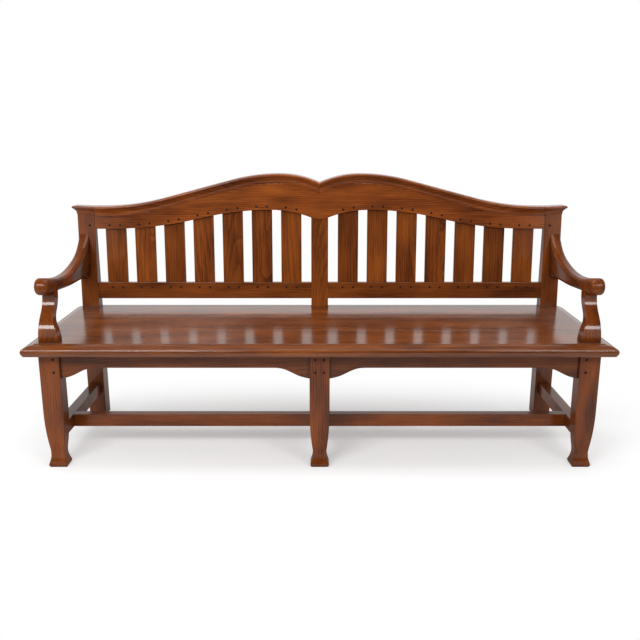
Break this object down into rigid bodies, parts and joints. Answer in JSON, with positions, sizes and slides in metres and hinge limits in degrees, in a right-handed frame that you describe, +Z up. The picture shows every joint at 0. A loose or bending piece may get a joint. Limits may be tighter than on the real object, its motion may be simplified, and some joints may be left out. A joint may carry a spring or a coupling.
{
  "type": "bench",
  "caption": "Wooden bench seat with slatted back, double-humped moulded crest rail, scooped arms, square tapered legs with pad feet and a stretcher frame below",
  "frame": {"origin": "centre of the bounding box at floor level", "axes": "X along the bench, left to right as its front is looked at; Y from front (-Y) to back (+Y); Z up"},
  "size_m": [1.958, 0.635, 0.9701],
  "materials": {
    "frame_wood": "polished",
    "seat_wood": "polished",
    "slat_wood": "polished",
    "inner_wood": "oiled",
    "pegs": "polished",
    "screws": "dull"
  },
  "bodies": {
    "root": {"apron_pegs": "pegs", "arm_left": "frame_wood", "arm_post_left": "frame_wood", "arm_post_right": "frame_wood", "arm_right": "frame_wood", "arm_screws": "screws", "back_apron_left": "inner_wood", "back_apron_right": "inner_wood", "back_post_left": "frame_wood", "back_post_middle": "frame_wood", "back_post_right": "frame_wood", "crest_cap_left": "frame_wood", "crest_cap_right": "frame_wood", "crest_rail": "frame_wood", "crest_slat_pegs": "pegs", "front_apron_left": "frame_wood", "front_apron_right": "frame_wood", "front_leg_left": "frame_wood", "front_leg_middle": "frame_wood", "front_leg_right": "frame_wood", "long_stretcher": "frame_wood", "lower_rail_left": "frame_wood", "lower_rail_right": "frame_wood", "middle_bearer": "inner_wood", "middle_stretcher": "frame_wood", "post_cap_left": "frame_wood", "post_cap_right": "frame_wood", "post_pegs": "pegs", "rail_slat_pegs": "pegs", "seat_back_board": "seat_wood", "seat_blocks": "inner_wood", "seat_front_board": "seat_wood", "seat_middle_board": "seat_wood", "seat_screws": "screws", "seat_tongues": "inner_wood", "side_apron_left": "frame_wood", "side_apron_right": "frame_wood", "side_stretcher_left": "frame_wood", "side_stretcher_right": "frame_wood", "slat_01": "slat_wood", "slat_02": "slat_wood", "slat_03": "slat_wood", "slat_04": "slat_wood", "slat_05": "slat_wood", "slat_06": "slat_wood", "slat_07": "slat_wood", "slat_08": "slat_wood", "slat_09": "slat_wood", "slat_10": "slat_wood", "slat_11": "slat_wood", "slat_12": "slat_wood", "slat_13": "slat_wood", "slat_14": "slat_wood"}
  },
  "joints": []
}
